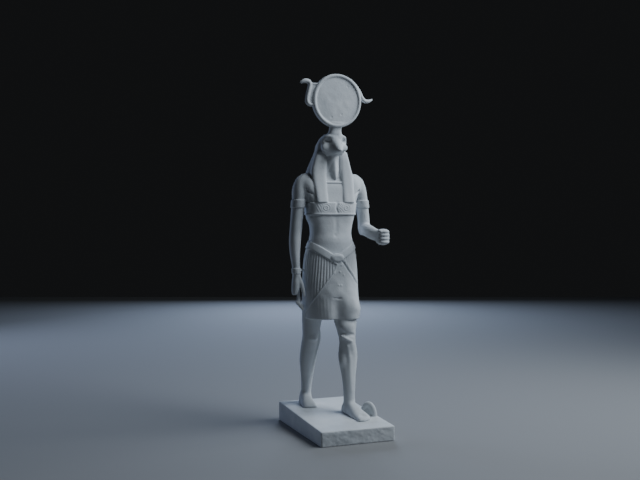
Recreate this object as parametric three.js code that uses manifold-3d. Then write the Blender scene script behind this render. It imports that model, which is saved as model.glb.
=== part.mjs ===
// Statuette of a falcon-headed sun god, striding on a low rectangular plinth.
// Two solids: the plinth, with a small arched lug standing on it, and the figure with its sun-disc crown.
// Millimetres, +Z up. The figure faces -Y, its left hand is at +X.
// The origin is the centre of the plinth's underside.

import * as THREE from "three";
import { mergeVertices } from "three/addons/utils/BufferGeometryUtils.js";
import Module from "manifold-3d";

const wasm = await Module();
wasm.setup();

// Driving dimensions
const PLINTH_WIDTH = 64;
const PLINTH_LENGTH = 106;
const PLINTH_FRONT_HEIGHT = 12;
const PLINTH_BACK_HEIGHT = 16.6;
const SOLE_GAP = 0.3;
const DISC_CENTRE = [0.4, -4.2, 277.9];
const DISC_RADIUS = 22.4;
const DISC_WIDTH_RATIO = 0.965;
const DISC_HALF_THICKNESS = 2.9;
const DISC_RIM_WIDTH = 2.7;
const DISC_RECESS = 1.1;
const DISC_CROWN = 0.8;
const PLEAT_COUNT = 32;
const PLEAT_DEPTH = 0.6;
const KILT_SEGMENTS = PLEAT_COUNT * 2;
// The belt's height, at rest behind and falling towards the buckle from the right and from the left.
const BELT_REST = 157.8;
const BELT_FROM_RIGHT = [143.7, -0.65];
const BELT_FROM_LEFT = [145.2, 0.57];
const BELT_HALF_HEIGHT = 3.5;
const BELT_SEGMENTS = 36;

const plinthTop = (y) =>
  PLINTH_FRONT_HEIGHT +
  (PLINTH_BACK_HEIGHT - PLINTH_FRONT_HEIGHT) * (y / PLINTH_LENGTH + 0.5);

// Upright stations, from the bottom up: z, centre x, centre y, half width, depth to the front, depth to the back,
// and, where a table gives it, the squareness of the section.
const TORSO = [
  [140, 0, 9, 20.6, 13.2, 13.4, 2.2],
  [158, 0, 8, 19.4, 13, 12.4, 2.3],
  [167, -0.2, 8, 17.8, 12, 11.6, 2.6],
  [174, -0.2, 8, 18.4, 12.2, 12, 2.9],
  [183, -0.6, 8, 20.2, 12.4, 13, 3.7],
  [190, -0.3, 8.3, 20.6, 12.6, 13.6, 3.8],
  [198, 0, 8.8, 22.6, 11.2, 13, 3.3],
  [206, 0, 9.4, 24.6, 9.8, 11.6, 2.9],
  [213, 0, 10, 23.2, 8, 9.2, 2.4],
  [219, 0, 9.6, 14.5, 7, 7, 2],
  [226, 0, 8, 7.6, 7, 6.6, 2],
  [236, 0, 6.4, 7.4, 7, 7, 2],
];
const KILT = [
  [94.4, 2.4, 12, 23.4, 21.6, 22.6],
  [106, 1.6, 11.5, 24.4, 21.8, 22.6],
  [118, 0.6, 11, 24.6, 20.5, 21.2],
  [136, 0, 9.4, 24.1, 17, 17.4],
  [146, -0.3, 8.7, 23.2, 15.5, 15.4],
  [153.5, -0.2, 8.3, 21.8, 14.2, 13.8],
  [160, -0.2, 8, 19.4, 12.4, 12],
  [162, -0.2, 8, 18.8, 12, 11.6],
];
const RIGHT_LEG = [
  [13, -10.8, 42.5, 4.9, 6.4, 5.4],
  [28, -10.8, 39.8, 4.4, 4.8, 4.8],
  [36, -10.9, 38, 4.9, 4.9, 5.2],
  [45, -11.3, 35.4, 5.9, 5.3, 6.4],
  [56, -11.8, 32, 7.3, 6.2, 8],
  [66, -12, 28.4, 7.5, 7, 8.4],
  [77, -12.2, 24.4, 7.2, 8.2, 7.6],
  [86, -12.6, 21.4, 7.8, 8.8, 8.6],
  [96, -13, 18.2, 8.8, 9.8, 9.8],
  [112, -12.6, 14.4, 10, 11, 11],
];
const LEFT_LEG = [
  [12, 12.2, -3.6, 4.9, 6.4, 5.6],
  [28, 12.2, -4, 4.8, 4.9, 4.9],
  [36, 12.2, -3.8, 5.2, 4.8, 5.2],
  [46, 12.2, -3, 6, 5, 6.6],
  [56, 12.1, -1.8, 7.6, 5.8, 8],
  [64, 12, -1.6, 8.2, 6.4, 8],
  [75, 11.1, -2.4, 6.9, 7.6, 6.8],
  [84, 10.4, -1.8, 7.9, 8.2, 7.8],
  [92, 9.9, -0.8, 9.7, 8.8, 8.6],
  [101, 10.2, 0.8, 10.4, 9, 9],
  [112, 11.4, 5, 10.2, 9, 9],
];
// The upper arms down to the elbow.
const UPPER_ARM = [
  [165, 32.4, 10, 3.8, 4.2, 4.2],
  [170, 32.3, 10.2, 4.8, 5.4, 5.2],
  [186, 30.7, 10.5, 5.1, 6, 5.8],
  [195, 29.2, 10.6, 5.5, 6.7, 6.4],
  [203, 27.1, 10.8, 6.5, 7.4, 7.2],
  [209, 25.3, 10.8, 6.6, 7, 7],
  [213.5, 23.6, 10.8, 6, 5.8, 5.8],
  [217.6, 21, 10.8, 3.6, 3.4, 3.4],
];
const RIGHT_UPPER_ARM = [
  [165, -30.9, 10.4, 4.2, 4.4, 4.6],
  [170, -30.6, 10.4, 4.9, 5.6, 5.6],
  [186, -29.2, 10.5, 5.3, 6.1, 6],
  [195, -28, 10.6, 5.6, 6.7, 6.5],
  [203, -26.9, 10.8, 6.6, 7.4, 7.2],
  [209, -25.3, 10.8, 6.6, 7, 7],
  [213.5, -23.4, 10.8, 6, 5.8, 5.8],
  [217.6, -20.8, 10.8, 3.6, 3.4, 3.4],
];
const RIGHT_FOREARM = [
  [131, -30.6, 9.4, 3.1, 3.9, 3.7],
  [137, -30.7, 9.6, 3.2, 3.8, 3.7],
  [143, -31.2, 9.8, 3.6, 4.2, 4.1],
  [151, -31.7, 10.1, 4.3, 5.1, 4.9],
  [160, -31.6, 10.3, 4.9, 5.7, 5.4],
  [168, -31, 10.4, 5, 5.7, 5.7],
  [176, -30.2, 10.4, 5, 5.7, 5.7],
];
// The wig's cap with the fall over the shoulders behind, and one of its two front lappets.
const WIG = [
  [198, 0, 16.5, 13.5, 3.5, 6.2, 2.6],
  [203, 0, 15.5, 15.5, 5, 7.6, 2.6],
  [210, 0, 14, 18.4, 7.6, 8.4, 3],
  [217, 0, 12.8, 20.8, 11.2, 9.4, 3.4],
  [224, 0, 12, 18.2, 10.6, 11, 3.4],
  [232, 0, 10, 14.9, 8.8, 12.6, 3.2],
  [237, 0, 8.6, 13.2, 7, 13.2, 2.9],
  [242, 0, 7.2, 12.2, 5.6, 13, 2.7],
  [247, 0, 6, 9.8, 5.6, 11.2, 2.5],
  [251.2, 0, 5, 5, 4.6, 5, 2.4],
];
// The gap between the lappets: width, back, foot and top.
const WIG_OPENING = [12.8, 5.4, 207.5, 233.5];
const LAPPET = [
  [192.8, 12, -1.6, 5.5, 4.4, 4],
  [201, 12.1, 0.6, 5.6, 4.4, 4],
  [211, 12.1, 2.8, 5.7, 4.4, 4],
  [219, 11.7, 4.4, 5.3, 4.4, 4],
  [230, 10.4, 5.8, 4.2, 4.4, 4],
  [236, 9.8, 6.2, 3.4, 3.6, 4],
];
const FACE = [
  [237, 0, 2, 10.6, 5.8, 5],
  [240, 0, 2, 11.2, 6.4, 5],
  [243, 0, 2, 10.9, 6.4, 5],
  [246, 0, 2, 10.2, 6, 5],
  [248.4, 0, 2.2, 8.6, 5.2, 5],
  [250, 0, 2.6, 6, 4.2, 5],
];
const FACE_SQUARENESS = 2.5;
const BEAK_SQUARENESS = 1.6;
const THROAT_SQUARENESS = 1.5;
const BEAK = [
  [233.8, 0, -2, 2.2, 5.4, 2],
  [234.9, 0, -2, 4, 9.6, 2],
  [236.2, 0, -2, 5.2, 11.2, 2],
  [238, 0, -2, 6, 9.6, 2],
  [240.5, 0, -2, 6.4, 7.4, 2],
  [243, 0, -2, 6.4, 5.5, 2],
  [245.5, 0, -2, 6, 4.2, 2],
  [250, 0, -1.2, 4, 2, 2],
];
const THROAT = [
  [211.2, 0.9, 5, 1.8, 3.4, 3],
  [213.4, 0.8, 5, 3.3, 4.8, 3],
  [216.4, 0.4, 5.4, 5, 5.8, 4],
  [222, 0.2, 6, 6.2, 6.2, 4],
  [234, 0, 7, 6.6, 6.2, 4],
];
const STEM = [
  [246, 0, 1, 7, 6, 6.4],
  [250.4, 0, -0.8, 6, 4.8, 4.8],
  [253.6, 0, -1.8, 5.2, 3.8, 3.6],
  [257, 0.2, -3.2, 5.7, 3.2, 3.2],
  [260, 0.4, -4.1, 7.6, 2.6, 2.6],
];

// Forward stations, from the back to the front: y, centre x, centre z, half width, height up, depth down.
const LEFT_FOREARM = [
  [13.8, 32.2, 172, 3.4, 4, 3.8],
  [10, 32.2, 171, 4.8, 5.6, 5],
  [3, 32, 169.2, 5.1, 5.8, 5.4],
  [-8, 31.2, 167.2, 4.9, 5.5, 5.4],
  [-17, 30.6, 165.8, 4.4, 5.1, 5],
  [-26, 30, 164.9, 4, 4.8, 4.8],
];
const LEFT_FOOT = [
  [5.2, 12.1, 0, 2.6, 4, 3],
  [3.4, 12.1, 0, 4.2, 7, 3],
  [-2.2, 12.3, 0, 4.7, 11.6, 3],
  [-15.2, 13.3, 0, 5.6, 8, 3],
  [-21.2, 14.4, 0, 6.4, 5.6, 3],
  [-26.2, 15.3, 0, 6.5, 4, 3],
  [-32.2, 12.6, 0, 4.2, 3, 3],
  [-33.8, 11.4, 0, 2.2, 2, 3],
];
const RIGHT_FOOT = [
  [48.1, -11, 0, 2.6, 4, 3],
  [46.8, -11, 0, 4.2, 7, 3],
  [42.9, -11.1, 0, 4.7, 11.6, 3],
  [33.8, -11.9, 0, 5.6, 8, 3],
  [26, -12.5, 0, 6.1, 3.8, 3],
  [23, -12.4, 0, 5.6, 2.6, 3],
  [21.8, -11.6, 0, 3.8, 1.8, 3],
];

// Where the wrapped front panel of the kilt ends: height, and degrees round from the front.
const RIGHT_EDGE = [
  [94, -100],
  [99.1, -87],
  [104.8, -68],
  [110.2, -54.6],
  [115.4, -43],
  [120.5, -33.6],
  [127.2, -21.8],
  [135.5, -6.1],
  [142, -1],
  [146, 0],
];
const LEFT_EDGE = [
  [94, 110],
  [112, 84],
  [123.4, 58.7],
  [129.8, 41.4],
  [136, 28.2],
  [142.8, 16.2],
  [146, 8],
];

// Solids from three.js geometry
function toSolid(geometry) {
  const bare = geometry.clone();
  bare.deleteAttribute("normal");
  bare.deleteAttribute("uv");
  const merged = mergeVertices(bare, 1e-4);
  const solid = new wasm.Manifold(
    new wasm.Mesh({
      numProp: 3,
      vertProperties: new Float32Array(merged.attributes.position.array),
      triVerts: new Uint32Array(merged.index.array),
    }),
  );
  if (solid.volume() < 0) {
    const index = merged.index.array;
    for (let i = 0; i < index.length; i += 3) [index[i + 1], index[i + 2]] = [index[i + 2], index[i + 1]];
    return toSolid(merged);
  }
  return solid;
}

function toGeometry(solid) {
  const mesh = solid.getMesh();
  const geometry = new THREE.BufferGeometry();
  geometry.setAttribute("position", new THREE.BufferAttribute(new Float32Array(mesh.vertProperties), 3));
  geometry.setIndex(new THREE.BufferAttribute(new Uint32Array(mesh.triVerts), 1));
  const flat = geometry.toNonIndexed();
  flat.computeVertexNormals();
  return flat;
}

// A closed skin over rings of points, with a fan over each end.
function skin(rings) {
  const count = rings[0].length;
  const positions = rings.flat().flatMap((p) => [p.x, p.y, p.z]);
  const index = [];
  for (let r = 0; r + 1 < rings.length; r++) {
    for (let i = 0; i < count; i++) {
      const a = r * count + i;
      const b = r * count + ((i + 1) % count);
      index.push(a, b, b + count, a, b + count, a + count);
    }
  }
  for (const [r, turned] of [[0, true], [rings.length - 1, false]]) {
    const middle = positions.length / 3;
    const centre = rings[r].reduce((sum, p) => sum.add(p), new THREE.Vector3()).divideScalar(count);
    positions.push(centre.x, centre.y, centre.z);
    for (let i = 0; i < count; i++) {
      const a = r * count + i;
      const b = r * count + ((i + 1) % count);
      index.push(...(turned ? [middle, b, a] : [middle, a, b]));
    }
  }
  const geometry = new THREE.BufferGeometry();
  geometry.setAttribute("position", new THREE.Float32BufferAttribute(positions, 3));
  geometry.setIndex(index);
  return toSolid(geometry);
}

// Catmull-Rom rows between the rows of a table.
function refine(rows, perSpan) {
  if (perSpan === 1) return rows;
  const at = (i) => {
    if (i < 0) return rows[0].map((v, k) => 2 * v - rows[1][k]);
    if (i >= rows.length) return rows.at(-1).map((v, k) => 2 * v - rows.at(-2)[k]);
    return rows[i];
  };
  const out = [];
  for (let i = 0; i + 1 < rows.length; i++) {
    const [p, q, r, s] = [at(i - 1), at(i), at(i + 1), at(i + 2)];
    for (let j = 0; j < perSpan; j++) {
      const t = j / perSpan;
      out.push(q.map((v, k) =>
        v + 0.5 * t * (r[k] - p[k] + t * (2 * p[k] - 5 * v + 4 * r[k] - s[k] + t * (3 * (v - r[k]) + s[k] - p[k]))),
      ));
    }
  }
  out.push(rows.at(-1));
  return out;
}

const power = (value, exponent) => Math.sign(value) * Math.abs(value) ** exponent;

// A point of a station's outline. The exponent is 2 for an ellipse, more for a boxy section, less for a wedge.
function outline([, cx, cy, half, front, back, ownSquareness], angle, squareness = 2) {
  const across = power(Math.cos(angle), 2 / (ownSquareness ?? squareness));
  const along = power(Math.sin(angle), 2 / (ownSquareness ?? squareness));
  return [cx + half * across, cy + (along < 0 ? front : back) * along];
}

function upright(stations, { segments = 16, perSpan = 1, squareness = 2 } = {}) {
  const rings = refine(stations, perSpan).map((station) =>
    Array.from({ length: segments }, (_, i) => {
      const angle = (i / segments) * 2 * Math.PI;
      const [x, y] = outline(station, angle, squareness);
      return new THREE.Vector3(x, y, station[0]);
    }),
  );
  return skin(rings);
}

function forward(stations, { segments = 16, perSpan = 1, squareness = 2 } = {}) {
  const rings = refine(stations, perSpan).map(([y, cx, cz, half, up, down]) =>
    Array.from({ length: segments }, (_, i) => {
      const [x, z] = outline([y, cx, cz, half, down, up], (i / segments) * 2 * Math.PI, squareness);
      return new THREE.Vector3(x, y, z);
    }),
  );
  return skin(rings);
}

// A tube along points that lie in one plane. Each row: x, y, z, half size in the plane, half size across it.
function tube(rows, planeNormal, { segments = 8, perSpan = 3 } = {}) {
  const fine = refine(rows, perSpan);
  const points = fine.map(([x, y, z]) => new THREE.Vector3(x, y, z));
  const rings = fine.map((row, i) => {
    const before = points[Math.max(i - 1, 0)];
    const after = points[Math.min(i + 1, points.length - 1)];
    const side = after.clone().sub(before).cross(planeNormal).normalize();
    return Array.from({ length: segments }, (_, k) => {
      const angle = (k / segments) * 2 * Math.PI;
      return points[i].clone()
        .addScaledVector(side, row[3] * Math.cos(angle))
        .addScaledVector(planeNormal, row[4] * Math.sin(angle));
    });
  });
  return skin(rings);
}

function ball([x, y, z], [a, b, c], segments = 10) {
  const geometry = new THREE.SphereGeometry(1, segments, Math.round(segments * 0.6));
  geometry.scale(a, b, c);
  geometry.translate(x, y, z);
  return toSolid(geometry);
}

const join = (parts) => parts.reduce((whole, part) => whole.add(part));
const mirrored = (rows) => rows.map(([z, x, ...rest]) => [z, -x, ...rest]);

function stationAt(rows, z) {
  const found = rows.findIndex((row) => row[0] >= z);
  const i = found < 0 ? rows.length - 1 : Math.max(1, found);
  const [low, high] = [rows[i - 1], rows[i]];
  const t = THREE.MathUtils.clamp((z - low[0]) / (high[0] - low[0]), 0, 1);
  return low.map((v, k) => v + t * (high[k] - v));
}

const outwards = (station, x, y) => new THREE.Vector2(x - station[1], y - station[2]).normalize();

// A band laid round an upright body: it follows the body's outline at each height, and may dip towards the front.
function band(bodyStations, heightAt, halfHeight, proud, segments, sink = 1.5) {
  const fine = refine(bodyStations, 4);
  const profile = [[-1, -sink], [-0.8, proud], [0.8, proud], [1, -sink]];
  const positions = [];
  const index = [];
  for (let i = 0; i < segments; i++) {
    const angle = (i / segments) * 2 * Math.PI;
    for (const [up, lift] of profile) {
      const z = heightAt(angle) + up * halfHeight;
      const station = stationAt(fine, z);
      const [x, y] = outline(station, angle);
      const out = outwards(station, x, y);
      positions.push(x + out.x * lift, y + out.y * lift, z);
    }
  }
  const rows = profile.length;
  for (let i = 0; i < segments; i++) {
    for (let k = 0; k < rows; k++) {
      const [a, b] = [i * rows + k, i * rows + ((k + 1) % rows)];
      const [c, d] = [((i + 1) % segments) * rows + k, ((i + 1) % segments) * rows + ((k + 1) % rows)];
      index.push(a, c, d, a, d, b);
    }
  }
  const geometry = new THREE.BufferGeometry();
  geometry.setAttribute("position", new THREE.Float32BufferAttribute(positions, 3));
  geometry.setIndex(index);
  return toSolid(geometry);
}

const { smoothstep, degToRad, radToDeg } = THREE.MathUtils;
const bell = (value, width) => Math.exp(-((value / width) ** 2));

// Degrees round from straight ahead (-Y), positive on the figure's left, and the outline's angle for them.
const turnedAt = (angle) => radToDeg(Math.atan2(Math.cos(angle), -Math.sin(angle)));
const angleAt = (turned) => degToRad(turned - 90);

// Body
const FINE_KILT = refine(KILT, 4);

function beltHeight(angle) {
  const [x, y] = outline(stationAt(FINE_KILT, BELT_REST), angle);
  if (y > KILT.at(-1)[2]) return BELT_REST;
  const [middle, slope] = x < 0 ? BELT_FROM_RIGHT : BELT_FROM_LEFT;
  return Math.min(BELT_REST, middle + slope * x);
}

// The forward thigh pushes the cloth out at the left, and a hollow forms between the thighs.
function kiltSwell(turned, z) {
  const thigh = 3.8 * (1 - smoothstep(z, 101, 128)) * bell(turned - 28, 21);
  const hem = 0.9 * bell(z - 103, 5) * smoothstep(turned, 10, 50) * (1 - smoothstep(turned, 100, 140));
  const hollow = 3.6 * (1 - smoothstep(z, 101, 118)) * bell(turned + 3, 12);
  return thigh + hem - hollow;
}

function kiltPoint(angle, z, lift) {
  const station = stationAt(FINE_KILT, z);
  const [x, y] = outline(station, angle);
  const out = outwards(station, x, y);
  const whole = kiltSwell(turnedAt(angle), z) + lift;
  return new THREE.Vector3(x + out.x * whole, y + out.y * whole, z);
}

// The pleated cloth ends under the belt. Its front panel is plain and its left side is only faintly pleated.
function kilt() {
  const foot = KILT[0][0];
  const steps = [0, 0.09, 0.22, 0.4, 0.6, 0.8, 1];
  const rings = steps.map((step) =>
    Array.from({ length: KILT_SEGMENTS }, (_, i) => {
      const angle = (i / KILT_SEGMENTS) * 2 * Math.PI;
      const turned = turnedAt(angle);
      const z = foot + step * (beltHeight(angle) - foot);
      const inPanel = turned > stationAt(RIGHT_EDGE, z)[1] && turned < stationAt(LEFT_EDGE, z)[1];
      const faint = smoothstep(turned, 15, 35) * (1 - smoothstep(turned, 100, 150));
      const depth = inPanel || i % 2 === 0 ? 0 : PLEAT_DEPTH * (1 - 0.8 * faint);
      return kiltPoint(angle, z, -depth);
    }),
  );
  return skin(rings);
}

// A raised edge of the wrapped panel, between two heights of its table.
function panelEdge(table, low, high, half, proud) {
  const heights = table.map(([z]) => z).filter((z) => z >= low && z <= high);
  const line = heights.map((z) => kiltPoint(angleAt(stationAt(table, z)[1]), z, -0.3));
  const rings = line.map((p, i) => {
    const along = line[Math.min(i + 1, line.length - 1)].clone().sub(line[Math.max(i - 1, 0)]).normalize();
    const station = stationAt(FINE_KILT, p.z);
    const flat = outwards(station, p.x, p.y);
    const out = new THREE.Vector3(flat.x, flat.y, 0);
    const side = along.clone().cross(out).normalize();
    return Array.from({ length: 6 }, (_, k) => {
      const angle = (k / 6) * 2 * Math.PI;
      return p.clone().addScaledVector(side, half * Math.cos(angle)).addScaledVector(out, proud * Math.sin(angle));
    });
  });
  return skin(rings);
}

function belt() {
  const strap = band(KILT, beltHeight, BELT_HALF_HEIGHT, 0.8, BELT_SEGMENTS, 2.4);
  const knot = ball([0, -5.6, 146.4], [6.1, 3.6, 3.9], 10);
  return strap.add(knot);
}

function arms() {
  const armband = (rows) => band(rows, () => 191.8, 3.4, 0.8, 12);
  return join([
    ...[UPPER_ARM, RIGHT_UPPER_ARM].flatMap((rows) => [
      upright(rows, { segments: 12, squareness: 2.1 }),
      armband(rows),
    ]),
    forward(LEFT_FOREARM, { segments: 12 }),
    upright(RIGHT_FOREARM, { segments: 12 }),
    band(RIGHT_FOREARM, () => 135.2, 2.3, 0.8, 12, 1),
    leftFist(),
    rightHand(),
  ]);
}

// The left hand is a plain fist; whatever it held is lost.
function leftFist() {
  const [x, y, z] = [30, -32.6, 164.2];
  const palm = forward([
    [y + 7, x, z, 4.3, 5, 5],
    [y + 3.2, x, z, 4.9, 6.4, 6.4],
    [y - 1.6, x, z, 4.9, 6.5, 6.5],
    [y - 4.2, x, z, 3.8, 5.4, 5.4],
  ], { segments: 12, squareness: 2.7 });
  const fingers = [0, 1, 2, 3].map((i) =>
    ball([x - 0.3, y - 2.6, z + 4.4 - 2.9 * i], [4.6, 3.2, 1.75], 8));
  const thumb = ball([x - 3.2, y - 1.2, z + 4.4], [2.1, 4.2, 1.9], 8);
  return join([palm, ...fingers, thumb]);
}

// The right hand hangs half open round a worn rod, whose lower end is broken at a slant.
function rightHand() {
  const [x, y, z] = [-29.8, 8.6, 124];
  const palm = upright([
    [z - 9.2, x - 2.6, y + 1, 1.7, 2.6, 2.6],
    [z - 5, x - 1.9, y + 0.8, 2.9, 4, 3.8],
    [z + 1, x - 0.9, y + 0.6, 3.9, 4.4, 4.2],
    [z + 5, x - 0.6, y + 0.7, 3.6, 4, 4],
    [z + 8.4, x - 0.6, y + 0.8, 2.9, 3.7, 3.6],
  ], { segments: 12, squareness: 2.2 });
  const across = new THREE.Vector3(1, 0, 0);
  const ahead = new THREE.Vector3(0, 1, 0);
  const thumb = tube([
    [x + 0.9, y - 1.6, z + 5.5, 1.7, 1.7],
    [x + 2.8, y - 2.8, z - 0.5, 1.8, 1.8],
    [x + 4, y - 3.2, z - 6, 1.5, 1.5],
    [x + 4.7, y - 3.4, z - 9.6, 0.9, 0.9],
  ], across, { segments: 6, perSpan: 1 });
  const rod = tube([
    [x + 0.6, y + 0.4, z - 3, 1.3, 1.3],
    [x + 0.9, y + 0.2, z - 10, 1.4, 1.4],
    [x + 1, y, z - 14.6, 1.8, 1.8],
    [x + 1, y - 0.1, z - 17, 1.4, 1.4],
  ], across, { segments: 7, perSpan: 1 });
  const brokenEnd = tube([
    [x - 0.4, y - 0.2, z - 15.4, 1.5, 1.6],
    [x + 2.2, y - 0.2, z - 17.6, 1.9, 1.9],
    [x + 4.4, y - 0.2, z - 20.8, 1.5, 1.4],
  ], ahead, { segments: 7, perSpan: 1 });
  const strut = tube([
    [x, y + 0.6, z + 12, 1, 1],
    [x + 7, y + 0.6, z + 12, 0.9, 0.9],
  ], ahead, { segments: 6, perSpan: 1 });
  return join([palm, thumb, rod, brokenEnd, strut]);
}

const foot = (rows) => forward(
  rows.map(([y, x, , ...sizes]) => [y, x, plinthTop(y), ...sizes]),
  { segments: 12, squareness: 2.7 },
);

function legs() {
  const frontThigh = ball([8.6, -7.2, 88.4], [5.6, 3.4, 4.4], 10);
  const frontKnee = tube([
    [3.6, -7.6, 80.6, 0.8, 0.8],
    [7.4, -9.7, 78.2, 1.2, 1.2],
    [11.4, -9.9, 76.2, 1, 1],
  ], new THREE.Vector3(0, 0, 1), { segments: 6, perSpan: 1 });
  const frontCalf = ball([6.4, -3.6, 60.5], [2.6, 3, 6.5], 8);
  const rearKnee = ball([-12, 17, 77.4], [3.2, 2, 3.4], 8);
  const rearShin = tube([
    [-6.2, 18.6, 82, 1, 1],
    [-6.1, 19.7, 77, 1.5, 1.5],
    [-6.3, 22.2, 70, 1.4, 1.4],
    [-7.4, 26, 60, 1.2, 1.2],
    [-9, 31.2, 46, 0.9, 0.9],
  ], new THREE.Vector3(1, 0, 0), { segments: 6, perSpan: 1 });
  return join([
    upright(RIGHT_LEG, { segments: 12 }),
    upright(LEFT_LEG, { segments: 12 }),
    frontThigh,
    frontKnee,
    frontCalf,
    rearKnee,
    rearShin,
    foot(LEFT_FOOT),
    foot(RIGHT_FOOT),
  ]);
}

function chest() {
  const corselet = band(TORSO, () => 188.2, 4.6, 0.9, 18);
  const hem = band(TORSO, () => 183.1, 0.8, 1.25, 18);
  const neckline = band(TORSO, () => 209.9, 0.8, 0.9, 18);
  return join([upright(TORSO, { segments: 18 }), corselet, hem, neckline]);
}

// Head, wig and crown
function head() {
  const skull = upright(FACE, { segments: 16, squareness: FACE_SQUARENESS })
    .add(upright(BEAK, { segments: 12, squareness: BEAK_SQUARENESS }));
  const sockets = [-1, 1].map((side) => ball([side * 7, -5.9, 245], [3.4, 2.3, 1.7], 8));
  const eyes = [-1, 1].map((side) => ball([side * 8.3, -2.6, 239.6], [2.8, 1.7, 3], 8));
  const brows = [-1, 1].map((side) => tube([
    [side * 3, -3.8, 247.6, 0.9, 0.9],
    [side * 6, -3, 248.2, 1.1, 1.3],
    [side * 8.6, -1.4, 247, 1.2, 1.5],
    [side * 9.9, 0.6, 245, 1.1, 1.1],
  ], new THREE.Vector3(0, 1, 0), { segments: 6, perSpan: 1 }));
  return join([
    skull.subtract(join(sockets)),
    ...eyes,
    ...brows,
    upright(THROAT, { segments: 12, squareness: THROAT_SQUARENESS }),
  ]);
}

function wig() {
  const lappet = (rows) => upright(rows, { segments: 12, squareness: 3.6 });
  const [width, back, low, high] = WIG_OPENING;
  const depth = 30;
  const opening = new THREE.BoxGeometry(width, depth, high - low);
  opening.translate(0, back - depth / 2, (low + high) / 2);
  const cap = upright(WIG, { segments: 20 }).subtract(toSolid(opening));
  return join([cap, lappet(LAPPET), lappet(mirrored(LAPPET))]);
}

// The disc has a raised rim round a slightly domed face.
function disc() {
  const inner = DISC_RADIUS - DISC_RIM_WIDTH;
  const t = DISC_HALF_THICKNESS;
  const dome = (r) => -(t - DISC_RECESS + DISC_CROWN * (1 - (r / inner) ** 2));
  const profile = [
    ...[0, 0.45, 0.75, 0.95].map((share) => [share * inner, dome(share * inner)]),
    [inner + 0.3, -t], [DISC_RADIUS - 0.9, -t],
    [DISC_RADIUS, -t + 1.1], [DISC_RADIUS, t - 1.1], [DISC_RADIUS - 0.9, t], [0, t],
  ].map(([r, h]) => new THREE.Vector2(r, h));
  const geometry = new THREE.LatheGeometry(profile, 32);
  geometry.scale(DISC_WIDTH_RATIO, 1, 1);
  geometry.translate(...DISC_CENTRE);
  return toSolid(geometry);
}

// The serpent round the disc: it rears at the god's right, its tail flicks out at the left.
function serpent() {
  const [cx, cy, cz] = DISC_CENTRE;
  const across = new THREE.Vector3(0, 1, 0);
  const path = (rows) => rows.map(([x, z, inPlane, deep]) => [cx + x, cy, cz + z, inPlane, deep]);
  const rearing = tube(path([
    [-20.6, -3.9, 1.4, 1.8],
    [-23.6, -4, 1.6, 1.9],
    [-25.9, -2.4, 1.7, 2],
    [-26.2, 1, 1.7, 2],
    [-25.4, 5, 1.7, 2],
    [-24.4, 9.2, 1.7, 2],
    [-23.8, 12.4, 1.7, 2],
    [-24.6, 14.6, 1.9, 2],
    [-27.6, 15.4, 1.95, 2],
    [-30, 14.8, 1.5, 1.6],
    [-31.6, 14, 0.9, 1],
  ]), across, { segments: 7, perSpan: 1 });
  const webOutline = new THREE.Shape([
    [-15.4, -4.6], [-21, -4.6], [-25.2, -2.4], [-25.8, 1], [-25, 5], [-24, 9], [-23.4, 13.6], [-15.4, 13.6],
  ].map(([x, z]) => new THREE.Vector2(cx + x, cz + z)));
  const webGeometry = new THREE.ExtrudeGeometry(webOutline, { depth: 1.8, bevelEnabled: false });
  webGeometry.rotateX(Math.PI / 2);
  webGeometry.translate(0, cy + 0.9, 0);
  const link = tube(path([
    [-23.6, 13.2, 0.9, 1.4],
    [-17, 13.2, 0.9, 1.5],
  ]), across, { segments: 7, perSpan: 1 });
  const tail = tube(path([
    [9, 19.6, 1, 2],
    [13, 17.2, 1.4, 2],
    [17.2, 12.9, 1.7, 2.1],
    [20.4, 8.4, 1.8, 2.1],
    [22.4, 4.6, 1.8, 2],
    [24.4, 2, 1.75, 1.8],
    [27, 0.9, 1.65, 1.6],
    [29.8, 1.4, 1.3, 1.3],
    [32.2, 2.5, 0.8, 0.8],
  ]), across, { segments: 7, perSpan: 1 });
  return join([rearing, toSolid(webGeometry), link, tail]);
}

// Everything of the figure below the sloping top of the plinth is cut away.
function underground() {
  const depth = 40;
  const block = new THREE.BoxGeometry(300, 400, depth);
  const slope = Math.atan2(PLINTH_BACK_HEIGHT - PLINTH_FRONT_HEIGHT, PLINTH_LENGTH);
  block.translate(0, 0, -depth / 2);
  block.rotateX(slope);
  block.translate(0, 0, plinthTop(0) + SOLE_GAP);
  return toSolid(block);
}

function figure() {
  const edges = [panelEdge(RIGHT_EDGE, 99, 143, 1, 0.95), panelEdge(LEFT_EDGE, 123, 143, 1, 0.8)];
  const body = join([chest(), kilt(), ...edges, belt(), arms(), legs()]);
  const top = join([head(), wig(), upright(STEM, { segments: 12 }), disc(), serpent()]);
  return body.add(top).subtract(underground());
}

// Plinth: a worn slab, thicker at the back, with an arched lug beside the forward foot.
function slab() {
  const [w, l] = [PLINTH_WIDTH / 2, PLINTH_LENGTH / 2];
  const worn = 1.1;
  const ring = (inset, heightAt) => [
    [w - worn, -l], [w, -l + worn], [w, l - worn], [w - worn, l],
    [-w + worn, l], [-w, l - worn], [-w, -l + worn], [-w + worn, -l],
  ].map(([x, y]) => new THREE.Vector3(x - Math.sign(x) * inset, y - Math.sign(y) * inset, heightAt(y)));
  return skin([
    ring(0.6, () => 0),
    ring(0, () => 0.8),
    ring(0, (y) => plinthTop(y) - 0.8),
    ring(0.7, (y) => plinthTop(y)),
  ]);
}

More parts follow.
